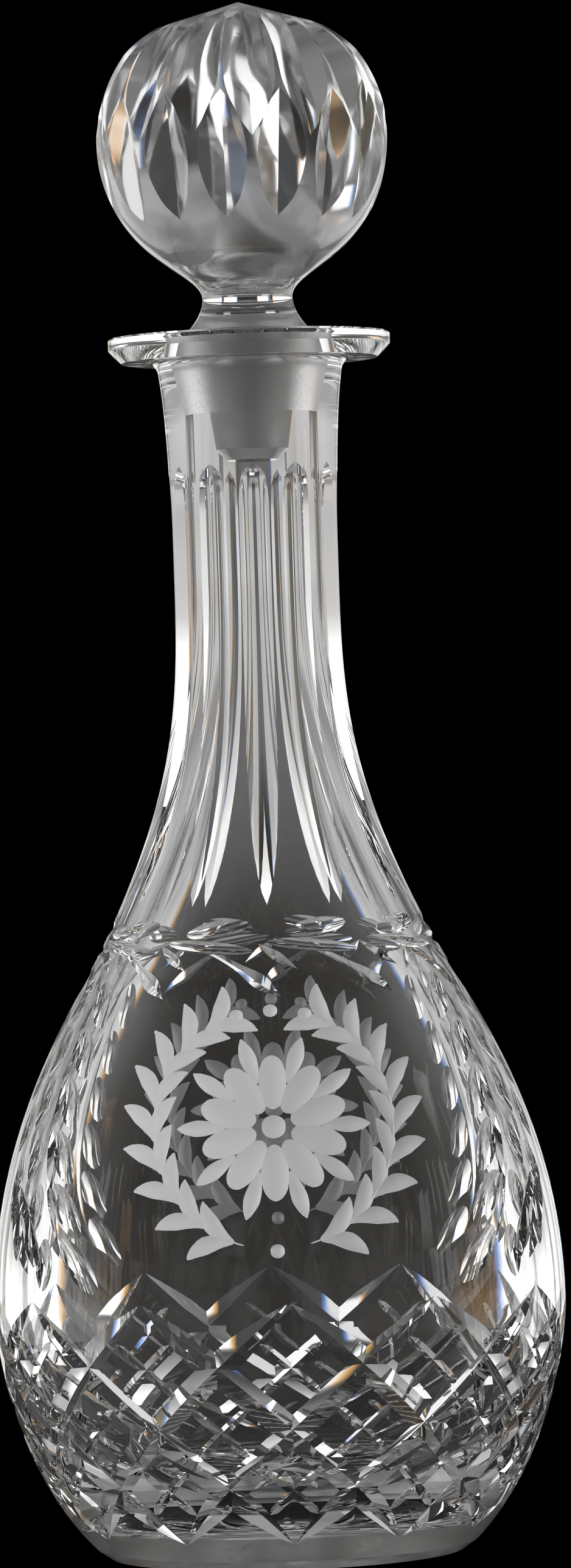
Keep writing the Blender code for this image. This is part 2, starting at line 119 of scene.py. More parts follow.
# Handles at the start and end of each curve, as shares of how far it goes
FOOT_CURVE_SHARES = (0.30, 0.20)
BELLY_CURVE_SHARES = (0.50, 0.15)
NECK_CURVE_SHARES = (0.45, 0.30)
TOP_CURVE_SHARES = (0.15, 0.30)
FLOOR_CURVE_SHARES = (0.55, 0.50)
BALL_STEM_SHARES = (0.50, 0.30)
STEM_COLLAR_SHARES = (0.25, 0.40)
FILLET_SHARE = 0.55

# Radius of the flat floor, as a share of the inner belly's
FLOOR_FLAT_SHARE = 0.5

# Radius where the ball ends, as a share of the mean of the stem's and the collar's
STEM_FLARE_SHARE = 1.70

# Steps round the axis and along the outlines
SIDES = 144
CURVE_STEPS = 28
FLOOR_STEPS = 5
BORE_STEPS = 4
FILLET_STEPS = 8
SOCKET_STEPS = 8
LIP_STEPS = 4
DISH_STEPS = 8
CROWN_STEPS = 8
BALL_STEPS = 48
PLUG_STEPS = 12
TIP_STEPS = 3
VESSEL_SURFACE_STEPS = 60
BALL_SURFACE_STEPS = 199

# Steps along the cuts and across a round wheel
CUT_STEPS = 20
FLUTE_STEPS = 24
FLUTE_TOP_STEPS = 8
LEAF_STEPS = 14
MITRE_STEPS = 48
CROSS_STEPS = 8
STAR_STEPS = 12
BALL_CUT_STEPS = 24
PETAL_STEPS = 12
DOT_STEPS = 8
WREATH_STEPS = 40
WHEEL_STEPS = 10

# How far cutters stand out of the surface
OVERRUN = 0.0003
MITRE_OVERRUN = 0.0007

# Depths along a cut, as (share of its length, share of its depth), where those below 0 are in the air
LENS_SHARES = ((0, -0.15), (0.5, 1), (1, -0.15))
LEAF_SHARES = ((0, -0.1), (0.15, 0.50), (0.40, 0.97), (0.60, 1), (0.85, 0.55), (1, -0.1))
POINTED_SHARES = ((0, -0.03), (0.10, 0.06), (0.25, 0.32), (0.45, 0.85), (0.58, 1), (0.75, 0.60),
                  (0.92, 0.08), (1, -0.03))

# Flutes of the neck
FLUTES = 12
FLUTE_LOW = 0.1350
FLUTE_HIGH = 0.2280
FLUTE_DEPTH = 0.0013
FLUTE_WIDTH_SHARE = 0.88
FLUTE_TOP_SHARE = 0.9
FLUTE_SHARES = ((0, -0.1), (0.06, 0.35), (0.20, 0.80), (0.40, 1), (0.90, 1), (0.97, 0.75), (1, -0.1))

# Fans round the shoulder: ends of each cut as (azimuth from its node, height), depth and half width
FANS = 10
FAN_START_SHARE = 0.05
FAN_LENSES = (
    ((3, 0.1302), (29, 0.1325), 0.0010, 0.0021),
    ((-4, 0.1288), (31, 0.1266), 0.0008, 0.0015),
)
SWAG_ENDS = ((2, 0.1288), (38, 0.1172))
SWAG_DEPTH = 0.0011
SWAG_HALF_WIDTH = 0.0017
SWAG_FALL_POWER = 1.7
SWAG_SHARES = ((0, -0.1), (0.20, 0.25), (0.60, 0.45), (0.82, 1), (1, -0.1))
CLAW_ENDS = ((-6, 0.1286), (8, 0.1226))
CLAW_DEPTH = 0.0008
CLAW_HALF_WIDTH = 0.0011

# Leaf garlands beside the two panels: azimuth of the vein from the panel's middle, by height
GARLAND_VEIN = ((0.0600, 45), (0.0680, 50), (0.0760, 54), (0.0880, 58), (0.1040, 61), (0.1220, 64))
VEIN_DEPTH = 0.0009
VEIN_HALF_WIDTH = 0.0015

# Columns of leaves: side of the vein, distance from it, and how much higher the lowest leaf starts
LEAF_COLUMNS = ((-1, 0.0012, 0.0), (1, 0.0032, 0.0), (1, 0.0124, 0.0056))
COLUMN_LEAVES = 6
LEAF_FIRST_HEIGHT = 0.0700
LEAF_PITCH = 0.0112
LEAF_LENGTH = 0.0140
LEAF_HALF_WIDTH = 0.0031
LEAF_DEPTH = 0.0010
LEAF_LEAN = 28

# Long blades at the foot of a garland: feet and tips from the vein, as shares of the pitch
BLADES = 2
BLADE_LENGTH = 0.0200
BLADE_PITCH = 0.0056
BLADE_FOOT_SHARE = 1.6
BLADE_TIP_SHARE = 2.4
BLADE_RISE = 0.0012
BLADE_HALF_WIDTH = 0.0027
BLADE_DEPTH = 0.0012

# Diamond lattice round the belly
BAND_LOW = 0.0057
BAND_HIGH = 0.0564
MITRES = 12
MITRE_ROWS = 4
BAND_START_SHARE = 0.065
MITRE_DEPTHS = (0.0017, 0.0016)
MITRE_HALF_WIDTH = 0.0030
MITRE_SHARES = ((0, -0.04), (0.08, 0.50), (0.22, 1), (0.80, 1), (0.93, 0.45), (1, -0.04))
CROSS_DEPTH = 0.0008
CROSS_HALF_WIDTH = 0.0010
CROSS_REACH_SHARE = 0.42
CROSS_SHARES = ((0, -0.2), (0.15, 1), (0.85, 1), (1, -0.2))

# Star under the foot
STAR_RAYS = 24
STAR_START = 0.0030
STAR_END_SHARE = 0.95
STAR_DEPTH = 0.0012
STAR_HALF_WIDTH = 0.0018
STAR_SHARES = ((0, -0.1), (0.60, 1), (1, -0.1))

# Cuts of the ball, from a radius near its point or between heights over its middle
BALL_CUTS = 15
BALL_TURN = 4
BALL_CUT_FLARE = 1.95
UPPER_CUT_START = 0.0060
UPPER_CUT_BOTTOM = -0.0020
UPPER_CUT_DEPTH = 0.0032
UPPER_CUT_SHARES = ((0, 0.84), (0.12, 0.94), (0.25, 1), (0.50, 0.94), (0.70, 1), (0.85, 0.66),
                    (1, -0.05))
LOWER_CUT_TOP = 0.0087
LOWER_CUT_BOTTOM = -0.0181
LOWER_CUT_DEPTH = 0.0031
LOWER_CUT_SHARES = ((0, -0.05), (0.20, 0.66), (0.50, 1), (0.80, 0.62), (1, -0.05))

# Frosted rosette in a leafy wreath on the front and back panels
PANEL_HEIGHT = 0.0915
FROST_DEPTH = 0.0005
EYE_RADIUS = 0.0026
PETALS = 10
PETAL_RING = (0.0034, 0.0158)
PETAL_HALF_WIDTH = 0.0031
SEPAL_RING = (0.0090, 0.0206)
SEPAL_HALF_WIDTH = 0.0018
BERRY_RADIUS = 0.0015
BERRY_RING = 0.0256
BERRY_ANGLES = (74, 90, 106, 270)
WREATH_RADIUS = 0.0252
WREATH_START = -82
WREATH_END = 62
SPRIG_HALF_WIDTH = 0.0004
SPRIG_DEPTH = 0.0002
SPRIG_LEAVES = 9
SPRIG_START_SHARE = 0.6
SPRIG_LEAF_LENGTH = 0.0120
SPRIG_LEAF_HALF_WIDTH = 0.0019
SPRIG_LEAF_LEAN = 34
SPRIG_LEAF_BEND_SHARE = 0.16

# Guards against rounding and bad normals, and the mark of a corner that has no normal of its own
POINT_DIGITS = 9
SMALLEST_LENGTH = 1e-12
NORMAL_LIMIT = 0.5
NO_NORMAL = (0.0, 0.0, 0.0)

# Glass: a tint that drifts, and a fine grain that sets roughness and relief
GLASS_IOR = 1.545
DRIFT_SCALE = 40
DRIFT_DETAIL = 2
DRIFT_STOPS = (0.35, 0.65)
GRAIN_DETAIL = 3
GRAIN_STOPS = (0.50, 0.75)

# Floor, and the share of its light that the glass doesn't show
FLOOR_RADIUS = 0.30
FLOOR_SIDES = 96
FLOOR_DROP = 0.00001
FLOOR_GREY = 0.72
FLOOR_ROUGHNESS = 0.6
FLOOR_DARK_SHARE = 0.9

# Soft lamp at the front left
LAMP_PLACE = (-0.5, -0.8, 0.7)
LAMP_TARGET = (0, 0, 0.1)
LAMP_SIZE = 0.5
LAMP_POWER = 8

# Colours of the studio
GREY = (1.0, 1.0, 1.0)
DUSK = (1.08, 1.0, 0.90)
WARM = (1.0, 0.55, 0.15)
COOL = (0.20, 0.42, 1.0)
OLIVE = (0.30, 0.27, 0.15)
WHITE = (1.25, 1.25, 1.25)

# Backdrop in front of the object, and then behind it, as (height of a direction, level, tint)
BACKDROP = (
    (-1, 0.10, GREY), (-0.45, 0.07, GREY), (-0.35, 0.04, DUSK), (-0.12, 0.03, DUSK),
    (-0.06, 0.022, DUSK), (-0.04, 0.025, DUSK), (-0.015, 0.035, DUSK), (0.03, 0.09, GREY),
    (0.12, 0.12, GREY), (0.30, 0.11, GREY), (0.55, 0.07, GREY), (1, 0.06, GREY),
)
REAR_BACKDROP = (
    (-1, 0.14, GREY), (-0.50, 0.18, GREY), (-0.35, 0.24, GREY), (-0.25, 0.22, GREY),
    (-0.15, 0.045, DUSK), (-0.06, 0.026, DUSK), (-0.04, 0.026, DUSK), (-0.015, 0.035, DUSK),
    (0.03, 0.09, GREY), (0.08, 0.13, GREY), (0.13, 0.13, GREY), (0.17, 0.06, GREY),
    (0.28, 0.06, GREY), (0.34, 0.28, GREY), (0.60, 0.30, GREY), (1, 0.12, GREY),
)

# How the rear backdrop takes over, as (part of a direction away from the camera, share)
REAR_SHARES = ((-0.05, 0), (0.15, 1))

# Soft patches on the backdrop, as (value of a noise, level)
PATCH_SCALE = 5
PATCH_DETAIL = 3
PATCH_LEVELS = ((0.38, 0.80), (0.62, 1.20))

# Pairs of softboxes, as (sideways part of a direction, colour, share that covers the backdrop)
WIDE_BOXES = (
    (-1.00, WHITE, 1), (-0.44, WHITE, 1), (-0.43, WARM, 1), (-0.42, WARM, 0),
    (0.42, COOL, 0), (0.43, COOL, 1), (0.44, WHITE, 1), (0.95, WHITE, 1), (1.00, WARM, 1),
)
LOW_BOXES = (
    (-0.39, OLIVE, 0), (-0.38, OLIVE, 1), (-0.355, OLIVE, 1), (-0.345, COOL, 1),
    (-0.335, WHITE, 1), (-0.17, WHITE, 1), (-0.16, WARM, 1), (-0.15, WARM, 0),
    (0.15, COOL, 0), (0.16, COOL, 1), (0.17, WHITE, 1), (0.38, WHITE, 1),
    (0.39, WARM, 1), (0.40, WARM, 0),
)
HIGH_BOXES = (
    (-0.38, COOL, 0), (-0.37, COOL, 1), (-0.35, WHITE, 1), (-0.24, WHITE, 1),
    (-0.23, WARM, 1), (-0.22, WARM, 0), (0.21, COOL, 0), (0.22, COOL, 0.7),
    (0.23, WHITE, 0.7), (0.31, WHITE, 0.7), (0.32, WHITE, 0),
)

# How each pair covers the backdrop, as (height of a direction, share)
WIDE_BOX_SHARES = ((-0.75, 0), (-0.55, 1), (-0.03, 1), (0.01, 0.5), (0.05, 0.35), (0.15, 0.4),
                   (0.20, 0.2), (0.60, 0.12), (0.80, 0))
LOW_BOX_SHARES = ((-0.36, 0), (-0.28, 1), (-0.02, 1), (0.01, 0.75), (0.05, 0.55), (0.09, 0.3),
                  (0.13, 0.15), (0.16, 0))
HIGH_BOX_SHARES = ((0.17, 0), (0.18, 1), (0.30, 1), (0.31, 0))
SOFTBOXES = ((WIDE_BOXES, WIDE_BOX_SHARES), (LOW_BOXES, LOW_BOX_SHARES), (HIGH_BOXES, HIGH_BOX_SHARES))

# How every pair fades towards the camera, as (part of a direction away from it, share)
SOFTBOX_SHARES = ((-0.40, 0.10), (-0.15, 1))

# Camera, whose focal length is measured in pixels of the photograph
IMAGE_HEIGHT = 2576
FOCAL_PIXELS = 12041
SENSOR_HEIGHT = 24.0
CAMERA_PLACE = (0.00466, -1.537, 0.1608)
CAMERA_ROLL = -1.87
CAMERA_CLIP_START = 0.05

# Bounces of light, enough for both walls of the glass and its cuts
BOUNCES = 32
GLOSSY_BOUNCES = 16


def curve(start, start_pull, end, end_pull, steps):
    """A cubic curve with a handle after its start and one before its end."""
    a = np.add(start, start_pull)
    b = np.subtract(end, end_pull)
    t = np.linspace(0, 1, steps + 1)[:, None]
    left = 1 - t
    return (left ** 3 * np.array(start) + 3 * left ** 2 * t * a
            + 3 * left * t * t * b + t ** 3 * np.array(end))


def leaning_curve(start, start_lean, end, end_lean, shares, steps):
    """A curve between two outline points that leans outward by so much per rise at each end."""
    rise = end[1] - start[1]
    start_pull = np.array((start_lean, 1)) * rise * shares[0]
    end_pull = np.array((end_lean, 1)) * rise * shares[1]
    return curve(start, start_pull, end, end_pull, steps)


def joined(*runs):
    """Runs of points end to end, with the shared points once."""
    return np.concatenate([np.array(runs[0])] + [np.array(run)[1:] for run in runs[1:]])


def vessel_wall(steps):
    """Outside of the vessel from the foot's edge to the top of the neck."""
    foot = (FOOT_RADIUS, FOOT_EDGE_HEIGHT)
    belly = (BELLY_RADIUS, BELLY_HEIGHT)
    shoulder = (SHOULDER_RADIUS, SHOULDER_HEIGHT)
    waist = (WAIST_RADIUS, WAIST_HEIGHT)
    top = (NECK_TOP_RADIUS, NECK_TOP_HEIGHT)
    return joined(
        leaning_curve(foot, FOOT_LEAN, belly, 0, FOOT_CURVE_SHARES, steps),
        leaning_curve(belly, 0, shoulder, SHOULDER_LEAN, BELLY_CURVE_SHARES, steps),
        leaning_curve(shoulder, SHOULDER_LEAN, waist, 0, NECK_CURVE_SHARES, steps),
        leaning_curve(waist, 0, top, NECK_TOP_LEAN, TOP_CURVE_SHARES, steps // 2),
    )


def vessel_inside():
    """Inside of the vessel from the middle of its floor to the foot of the socket."""
    belly = (BELLY_RADIUS - WALL, BELLY_HEIGHT)
    floor = (belly[0] * FLOOR_FLAT_SHARE, BASE_THICKNESS)
    outward = np.array((1, -SHOULDER_LEAN)) / math.hypot(1, SHOULDER_LEAN)
    shoulder = np.array((SHOULDER_RADIUS, SHOULDER_HEIGHT)) - outward * WALL
    bore = (BORE_RADIUS, BORE_START_HEIGHT)
    bore_top = (BORE_RADIUS, MOUTH_HEIGHT - SOCKET_DEPTH)
    floor_pull = ((belly[0] - floor[0]) * FLOOR_CURVE_SHARES[0], 0)
    belly_pull = (0, (belly[1] - floor[1]) * FLOOR_CURVE_SHARES[1])
    return joined(
        np.linspace((0, BASE_THICKNESS), floor, FLOOR_STEPS + 1),
        curve(floor, floor_pull, belly, belly_pull, CURVE_STEPS // 2),
        leaning_curve(belly, 0, shoulder, SHOULDER_LEAN, BELLY_CURVE_SHARES, CURVE_STEPS // 2),
        leaning_curve(shoulder, SHOULDER_LEAN, bore, 0, NECK_CURVE_SHARES, CURVE_STEPS),
        np.linspace(bore, bore_top, BORE_STEPS + 1),
    )


def ball_point(polar):
    """A point of the ball's outline by its angle from straight up, in radians."""
    centre = STOPPER_BASE + BALL_RISE
    return np.array((BALL_RADIUS * math.sin(polar), centre + BALL_RADIUS * math.cos(polar)))


def turns(count, start=0.0):
    """Azimuths spread evenly round the axis, in radians."""
    return [start + 2 * math.pi * index / count for index in range(count)]


def around(radius, azimuth, height):
    """Points, or directions, at azimuths round the axis."""
    x = radius * np.sin(azimuth)
    y = -radius * np.cos(azimuth)
    return np.stack((x, y, height + 0 * azimuth), axis=-1)


def unit(vectors):
    lengths = np.maximum(np.linalg.norm(vectors, axis=-1), SMALLEST_LENGTH)
    return vectors / lengths[..., None]


def eased(shares, places):
    """Values at places of a table of (place, share), as a curve that never swings past its points."""
    x, y = np.array(shares, float).T
    steps = np.diff(y) / np.diff(x)
    slope = np.zeros(len(x))
    slope[0], slope[-1] = steps[0], steps[-1]
    for i in range(1, len(x) - 1):
        if steps[i - 1] * steps[i] > 0:
            slope[i] = 2 * steps[i - 1] * steps[i] / (steps[i - 1] + steps[i])
    i = np.clip(np.searchsorted(x, places) - 1, 0, len(x) - 2)
    h = x[i + 1] - x[i]
    t = (places - x[i]) / h
    start = (2 * t ** 3 - 3 * t ** 2 + 1) * y[i] + (t ** 3 - 2 * t ** 2 + t) * h * slope[i]
    end = (3 * t ** 2 - 2 * t ** 3) * y[i + 1] + (t ** 3 - t ** 2) * h * slope[i + 1]
    return start + end


class Shape:
    """Faces gathered with a normal for each of their corners."""

    def __init__(self):
        self.points = []
        self.faces = []
        self.normals = []
        self.slots = []

    def add_points(self, points):
        first = len(self.points)
        self.points.extend(np.reshape(points, (-1, 3)).tolist())
        return first

    def add_face(self, points, normals, slot=0):
        self.faces.append(points)
        self.normals.extend(normals)
        self.slots.append(slot)

    def object(self, name, collection, materials):
        """A mesh object that stores the corner normals as an attribute, to outlast the carving."""
        data = bpy.data.meshes.new(name)
        data.from_pydata(self.points, [], self.faces)
        for material in materials:
            data.materials.append(material)
        data.polygons.foreach_set("material_index", self.slots)
        stored = data.attributes.new("true_normal", "FLOAT_VECTOR", "CORNER")
        stored.data.foreach_set("vector", np.array(self.normals, np.float32).ravel())
        data.update()
        made = bpy.data.objects.new(name, data)
        collection.objects.link(made)
        return made


def turned(name, runs, materials):
    """A solid turned from smooth runs of (radius, height), with the glass on their right.

    Each run is (points, material), with one material for all its segments or a list of theirs.
    """
    shape = Shape()
    azimuths = np.array(turns(SIDES))
    rings = {}

    def ring(point):
        """The points round a point of the outline, made once and shared by the runs that meet."""
        key = tuple(round(float(part), POINT_DIGITS) for part in point)
        if key not in rings:
            if key[0] == 0:
                rings[key] = [shape.add_points([(0, 0, point[1])])] * SIDES
            else:
                first = shape.add_points(around(point[0], azimuths, point[1]))
                rings[key] = list(range(first, first + SIDES))
        return rings[key]

    for run, material in runs:
        chosen = material if isinstance(material, list) else [material] * (len(run) - 1)
        slopes = np.gradient(np.array(run, float), axis=0)
        outward = unit(np.stack((-slopes[:, 1], slopes[:, 0]), axis=1))
        normals = [around(out, azimuths, up).tolist() for out, up in outward]
        for i in range(len(run) - 1):
            low, high = ring(run[i]), ring(run[i + 1])
            slot = materials.index(chosen[i])
            for k in range(SIDES):
                j = (k + 1) % SIDES
                corners = [(low[k], normals[i][k]), (high[k], normals[i + 1][k])]
                if high[j] != high[k]:
                    corners.append((high[j], normals[i + 1][j]))
                if low[j] != low[k]:
                    corners.append((low[j], normals[i][j]))
                points, point_normals = zip(*corners)
                shape.add_face(points, point_normals, slot)
    return shape.object(name, bpy.context.scene.collection, materials)


class Outline:
    """A turned surface that cuts are laid on, measured along its outline with the glass to the left."""

    def __init__(self, points):
        self.points = np.array(points, float)
        runs = np.linalg.norm(np.diff(self.points, axis=0), axis=1)
        self.travels = np.concatenate(([0], np.cumsum(runs)))
        self.slopes = np.gradient(self.points, self.travels, axis=0)

    def travel(self, height):
        return np.interp(height, self.points[:, 1], self.travels)

    def radius(self, travel):
        return np.interp(travel, self.travels, self.points[:, 0])

    def height(self, travel):
        return np.interp(travel, self.travels, self.points[:, 1])

    def place(self, travels, azimuths):
        """Points on the surface and the directions straight out of it."""
        out = np.interp(travels, self.travels, self.slopes[:, 0])
        up = np.interp(travels, self.travels, self.slopes[:, 1])
        points = around(self.radius(travels), azimuths, self.height(travels))
        return points, unit(around(up, azimuths, -out))


class EdgeWheel:
    """Section of a cut by a V-edged wheel: two sharp flanks."""

    smooth = False

    def __init__(self, half_width, full_depth, overrun=OVERRUN):
        self.flare = half_width / full_depth
        self.overrun = overrun

    def section(self, depth):
        half = self.flare * (depth + self.overrun)
        return [(half, self.overrun), (0, -depth), (-half, self.overrun)]


class RoundWheel:
    """Section of a cut by a round-edged wheel."""

    smooth = True

    def __init__(self, half_width, full_depth, overrun=OVERRUN):
        self.radius = (half_width ** 2 + full_depth ** 2) / (2 * full_depth)
        self.overrun = overrun

    def section(self, depth):
        centre = self.radius - depth
        reach = math.acos(max(-1, min(1, (centre - self.overrun) / self.radius)))
        angles = np.linspace(reach, -reach, WHEEL_STEPS + 1)
        return [(self.radius * math.sin(angle), centre - self.radius * math.cos(angle))
                for angle in angles]


def strip_normals(grid, outward, smooth):
    """Normals out of the glass at both sides of each strip of a cut, station by station."""
    runs = np.gradient(grid, axis=0)
    normals = unit(np.cross(runs[:, :-1] + runs[:, 1:], grid[:, 1:] - grid[:, :-1]))
    normals *= np.sign(np.sum(normals * outward[:, None], axis=-1))[..., None]
    if not smooth:
        return normals.tolist(), normals.tolist()
    shared = normals[:, :-1] + normals[:, 1:]
    blended = unit(np.concatenate((normals[:, :1], shared, normals[:, -1:]), axis=1))
    return blended[:, :-1].tolist(), blended[:, 1:].tolist()


class Wheelwork:
    """The cuts of one turned surface, each a closed cutter of its own."""

    def __init__(self, name, surface, material):
        self.cutters = bpy.data.collections.new(name)
        bpy.context.scene.collection.children.link(self.cutters)
        self.surface = surface
        self.material = material

    def cut(self, travels, azimuths, depths, wheel, material=None, surface=None):
        """One cut along a route, as deep at each station as depths says."""
        points, outward = (surface or self.surface).place(travels, azimuths)
        across = unit(np.cross(np.gradient(points, axis=0), outward))
        sections = np.array([wheel.section(float(depth)) for depth in depths])
        aside, above = sections[:, :, :1], sections[:, :, 1:]
        grid = points[:, None] + across[:, None] * aside + outward[:, None] * above
        stations, columns = grid.shape[:2]
        left, right = strip_normals(grid, outward, wheel.smooth)
        shape = Shape()
        shape.add_points(grid)
        for i in range(stations - 1):
            a = i * columns
            b = a + columns
            for k in range(columns - 1):
                normals = [left[i][k], right[i][k], right[i + 1][k], left[i + 1][k]]
                shape.add_face([a + k, a + k + 1, b + k + 1, b + k], normals)
            shape.add_face([a + columns - 1, a, b, b + columns - 1], [NO_NORMAL] * 4)
        shape.add_face(list(range(columns))[::-1], [NO_NORMAL] * columns)
        last = (stations - 1) * columns
        shape.add_face(list(range(last, last + columns)), [NO_NORMAL] * columns)
        shape.object("cutter", self.cutters, [material or self.material])

    def straight(self, start, end, shares, depth, wheel, steps=CUT_STEPS, **choices):
        """A cut that runs evenly between two (travel, azimuth) places."""
        alongs = np.linspace(0, 1, steps + 1)
        route = np.array(start) + alongs[:, None] * np.subtract(end, start)
        self.cut(route[:, 0], route[:, 1], depth * eased(shares, alongs), wheel, **choices)

    def carve(self, body):
        """Cut the body, then give each corner the normal of the surface that it came from."""
        boolean = body.modifiers.new("carve", "BOOLEAN")
        boolean.operation = "DIFFERENCE"
        boolean.solver = "MANIFOLD"
        boolean.operand_type = "COLLECTION"
        boolean.collection = self.cutters
        boolean.material_mode = "TRANSFER"
        graph = bpy.context.evaluated_depsgraph_get()
        carved = body.evaluated_get(graph)
        data = bpy.data.meshes.new_from_object(carved, preserve_all_data_layers=True, depsgraph=graph)
        body.modifiers.clear()
        whole = body.data
        body.data = data
        bpy.data.meshes.remove(whole)
        for cutter in list(self.cutters.objects):
            bpy.data.meshes.remove(cutter.data)
        bpy.data.collections.remove(self.cutters)
        polish(data)


def polish(data):
    """Set the stored corner normals, or a face's own normal where they don't suit it."""
    stored = np.zeros(len(data.loops) * 3, np.float32)
    data.attributes["true_normal"].data.foreach_get("vector", stored)
    stored = stored.reshape(-1, 3)
    corners = np.zeros(len(data.polygons), np.int32)
    data.polygons.foreach_get("loop_total", corners)
    flat = np.zeros(len(data.polygons) * 3, np.float32)
    data.polygons.foreach_get("normal", flat)
    flat = np.repeat(flat.reshape(-1, 3), corners, axis=0)
    lengths = np.linalg.norm(stored, axis=1)
    missing = lengths < NORMAL_LIMIT
    astray = np.sum(stored * flat, axis=1) < NORMAL_LIMIT * lengths
    unfit = missing | astray
    stored[unfit] = flat[unfit]
    data.shade_smooth()
    data.normals_split_custom_set(unit(stored).tolist())


def cut_flutes(work):
    """Long grooves up the neck, with finer steps where they run out at the top."""
    low, high = work.surface.travel(FLUTE_LOW), work.surface.travel(FLUTE_HIGH)
    wheel = EdgeWheel(FLUTE_WIDTH_SHARE * math.pi * WAIST_RADIUS / FLUTES, FLUTE_DEPTH)
    coarse = np.linspace(0, 1, FLUTE_STEPS + 1)
    fine = np.linspace(FLUTE_TOP_SHARE, 1, FLUTE_TOP_STEPS + 1)
    alongs = np.unique(np.concatenate((coarse, fine)))
    travels = low + alongs * (high - low)
    depths = FLUTE_DEPTH * eased(FLUTE_SHARES, alongs)
    for azimuth in turns(FLUTES):
        work.cut(travels, np.full_like(alongs, azimuth), depths, wheel)


def cut_shoulder(work):
    """Fans of long cuts: two flat lenses, a falling swag and a short claw from each node."""

    def ends(node, marks):
        return [(work.surface.travel(height), node + math.radians(degrees))
                for degrees, height in marks]

    alongs = np.linspace(0, 1, CUT_STEPS + 1)
    swag_depths = SWAG_DEPTH * eased(SWAG_SHARES, alongs)
    swag_wheel = EdgeWheel(SWAG_HALF_WIDTH, SWAG_DEPTH)
    claw_wheel = EdgeWheel(CLAW_HALF_WIDTH, CLAW_DEPTH)
    for node in turns(FANS, FAN_START_SHARE * 2 * math.pi / FANS):
        for first, last, depth, half_width in FAN_LENSES:
            start, end = ends(node, (first, last))
            work.straight(start, end, LENS_SHARES, depth, RoundWheel(half_width, depth))
        start, end = ends(node, SWAG_ENDS)
        travels = start[0] + (end[0] - start[0]) * alongs ** SWAG_FALL_POWER
        azimuths = start[1] + (end[1] - start[1]) * alongs
        work.cut(travels, azimuths, swag_depths, swag_wheel)
        start, end = ends(node, CLAW_ENDS)
        work.straight(start, end, LENS_SHARES, CLAW_DEPTH, claw_wheel)


def cut_garland(work, centre, side):
    """A vein with columns of leaves on both sides and long blades at its foot, beside a panel."""
    surface = work.surface
    heights, degrees = np.transpose(GARLAND_VEIN)

    def place(across, travel):
        """Across is the distance from the vein, away from the panel."""
        vein = np.radians(np.interp(surface.height(travel), heights, degrees))
        return travel, centre + side * (vein + across / surface.radius(travel))

    alongs = np.linspace(0, 1, CUT_STEPS + 1)
    low, high = surface.travel(heights[0]), surface.travel(heights[-1])
    travels, azimuths = place(0, low + alongs * (high - low))
    vein_wheel = EdgeWheel(VEIN_HALF_WIDTH, VEIN_DEPTH)
    work.cut(travels, azimuths, VEIN_DEPTH * eased(LENS_SHARES, alongs), vein_wheel)

    leaf_wheel = RoundWheel(LEAF_HALF_WIDTH, LEAF_DEPTH)
    spread = LEAF_LENGTH * math.sin(math.radians(LEAF_LEAN))
    drop = LEAF_LENGTH * math.cos(math.radians(LEAF_LEAN))
    for hand, beside, above in LEAF_COLUMNS:
        for index in range(COLUMN_LEAVES):
            foot = surface.travel(LEAF_FIRST_HEIGHT) + above + index * LEAF_PITCH
            start = place(hand * beside, foot)
            end = place(hand * (beside + spread), foot - drop)
            work.straight(start, end, LENS_SHARES, LEAF_DEPTH, leaf_wheel, LEAF_STEPS)

    blade_wheel = EdgeWheel(BLADE_HALF_WIDTH, BLADE_DEPTH)
    for blade in range(BLADES):
        foot = low + blade * BLADE_RISE
        start = place((blade + BLADE_FOOT_SHARE) * BLADE_PITCH, foot)
        end = place((blade + BLADE_TIP_SHARE) * BLADE_PITCH, foot + BLADE_LENGTH)
        work.straight(start, end, LEAF_SHARES, BLADE_DEPTH, blade_wheel, LEAF_STEPS)


def cut_lattice(work):
    """Two hands of mitres that cross in diamonds, each diamond with a small cross."""
    low, high = work.surface.travel(BAND_LOW), work.surface.travel(BAND_HIGH)
    half_pitch = math.pi / MITRES
    row = (high - low) / MITRE_ROWS
    band_start = 2 * half_pitch * BAND_START_SHARE
    cross_wheel = EdgeWheel(CROSS_HALF_WIDTH, CROSS_DEPTH)
    rise = CROSS_REACH_SHARE * row
    for hand, depth in zip((1, -1), MITRE_DEPTHS):
        run = hand * CROSS_REACH_SHARE * half_pitch
        wheel = EdgeWheel(MITRE_HALF_WIDTH, depth, MITRE_OVERRUN)
        for azimuth in turns(MITRES, band_start):
            start, end = (low, azimuth), (high, azimuth + hand * half_pitch * MITRE_ROWS)
            work.straight(start, end, MITRE_SHARES, depth, wheel, MITRE_STEPS)
        for level in range(1, MITRE_ROWS):
            middle = low + level * row
            for azimuth in turns(MITRES, band_start + half_pitch * (level + 1)):
                start, end = (middle - rise, azimuth - run), (middle + rise, azimuth + run)
                work.straight(start, end, CROSS_SHARES, CROSS_DEPTH, cross_wheel, CROSS_STEPS)


def cut_star(work, dish):
    """Rays from near the middle of the dish under the foot to near its rim."""
    surface = Outline(dish)
    wheel = EdgeWheel(STAR_HALF_WIDTH, STAR_DEPTH)
    for azimuth in turns(STAR_RAYS):
        start, end = (STAR_START, azimuth), (RECESS_RADIUS * STAR_END_SHARE, azimuth)
        work.straight(start, end, STAR_SHARES, STAR_DEPTH, wheel, STAR_STEPS, surface=surface)


